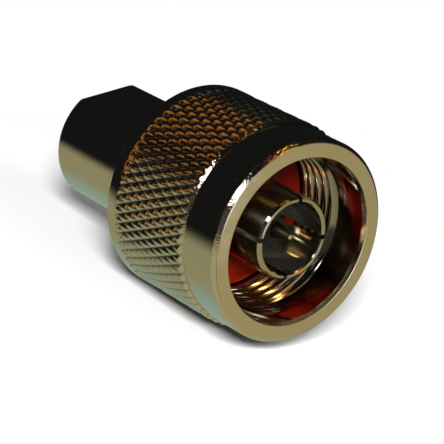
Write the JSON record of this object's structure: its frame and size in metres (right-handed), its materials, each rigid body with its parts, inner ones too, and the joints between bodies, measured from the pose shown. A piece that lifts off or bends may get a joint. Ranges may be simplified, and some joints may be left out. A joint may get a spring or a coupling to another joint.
{
  "type": "n type connector",
  "caption": "Coaxial cable plug with a free-turning diamond-knurled coupling nut, slotted sleeve, centre pin and red face gasket.",
  "frame": {"origin": "centre of the rear end, at the bottom of the bounding box", "axes": "+Z along the connector's axis, from the cable end up to the mating end; +Y and -Y are square to the two wrench flats"},
  "size_m": [0.0205, 0.0204, 0.0307],
  "materials": {
    "nut_nickel": "polished nickel plate on brass",
    "body_nickel": "polished nickel plate on brass",
    "contact_nickel": "nickel plate on spring bronze",
    "inner_nickel": "turned, nickel plated",
    "silver_plate": "silver plate on brass",
    "spring_steel": "ground spring steel",
    "red_silicone": "moulded silicone, satin",
    "black_rubber": "moulded rubber, matt",
    "ptfe": "machined, waxy white"
  },
  "bodies": {
    "plug": {"plug_body": "body_nickel", "outer_contact": "contact_nickel", "interface_gasket": "red_silicone", "retaining_ring": "spring_steel", "front_insulator": "ptfe", "rear_insulator": "ptfe", "centre_contact": "silver_plate", "braid_clamp": "inner_nickel", "cable_gasket": "black_rubber", "clamp_washer": "inner_nickel", "clamp_nut": "inner_nickel"},
    "nut": {"coupling_nut": "nut_nickel"}
  },
  "joints": [
    {"name": "coupling_spin", "type": "hinge", "parent": "plug", "child": "nut", "pos_m": [0, 0, 0.0164], "axis": [0, 0, 1], "continuous": true}
  ]
}
